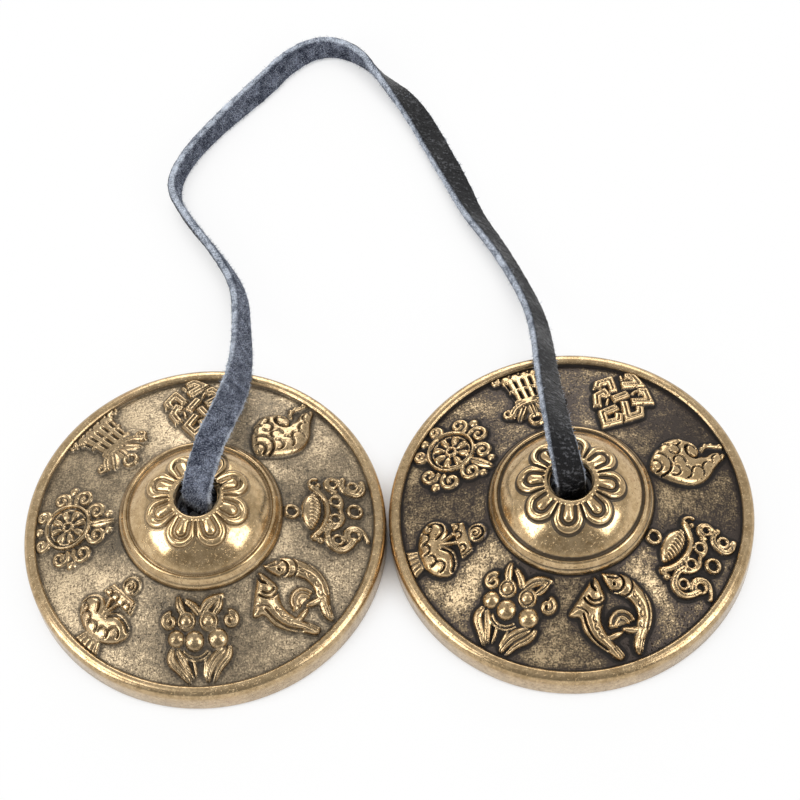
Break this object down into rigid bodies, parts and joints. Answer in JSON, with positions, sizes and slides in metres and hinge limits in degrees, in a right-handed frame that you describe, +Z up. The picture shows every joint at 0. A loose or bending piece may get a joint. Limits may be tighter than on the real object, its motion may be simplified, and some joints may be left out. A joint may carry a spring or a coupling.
{
  "type": "tingsha cymbals",
  "caption": "Tingsha: small cast bronze hand cymbals with domed centres and raised lucky symbols, knotted on a flat leather strap and rung rim to rim.",
  "frame": {"origin": "on the floor, midway between the two cymbals, under the point where their rims almost meet", "axes": "+X from the left cymbal to the right one, +Y back towards the strap's loop, +Z up"},
  "size_m": [0.1304, 0.1404, 0.0261],
  "materials": {
    "bronze_left": "aged bell bronze, soft grey-brown patina, polished dome and rim",
    "bronze_right": "aged bell bronze, dark brown patina, polished dome and rim",
    "strap_leather": "black grain side, blue-grey suede flesh side and cut edges"
  },
  "bodies": {
    "left_strap_end": {"strap_left_neck": "strap_leather", "left_knot": "strap_leather"},
    "left_cymbal": {"left_cymbal": "bronze_left"},
    "strap_left": {"strap_left_bend": "strap_leather", "strap_left_run": "strap_leather"},
    "strap_right": {"strap_crown": "strap_leather", "strap_right_run": "strap_leather", "strap_right_bend": "strap_leather"},
    "right_strap_end": {"strap_right_neck": "strap_leather", "right_knot": "strap_leather"},
    "right_cymbal": {"right_cymbal": "bronze_right"}
  },
  "joints": [
    {"name": "left_spin", "type": "hinge", "parent": "left_strap_end", "child": "left_cymbal", "pos_m": [-0.03271, 0, 0.017], "axis": [0, 0, 1], "continuous": true},
    {"name": "strap_lift", "type": "hinge", "parent": "left_strap_end", "child": "strap_left", "pos_m": [-0.0296, 0.0072, 0.0237], "axis": [1, 0, 0], "range_deg": [0, 90], "deforming": ["strap_left_bend"]},
    {"name": "strap_fold", "type": "hinge", "parent": "strap_left", "child": "strap_right", "pos_m": [-0.0098, 0.106, 0.0028], "axis": [0, 0, 1], "range_deg": [0, 60], "deforming": ["strap_crown"]},
    {"name": "right_flex", "type": "hinge", "parent": "strap_right", "child": "right_strap_end", "pos_m": [0.0309, 0.0072, 0.0237], "axis": [1, 0, 0], "range_deg": [-90, 0], "deforming": ["strap_right_bend"]},
    {"name": "right_spin", "type": "hinge", "parent": "right_strap_end", "child": "right_cymbal", "pos_m": [0.03271, 0, 0.017], "axis": [0, 0, 1], "continuous": true}
  ],
  "couplings": [
    {"joint": "right_flex", "follows": "strap_lift", "ratio": -1}
  ]
}
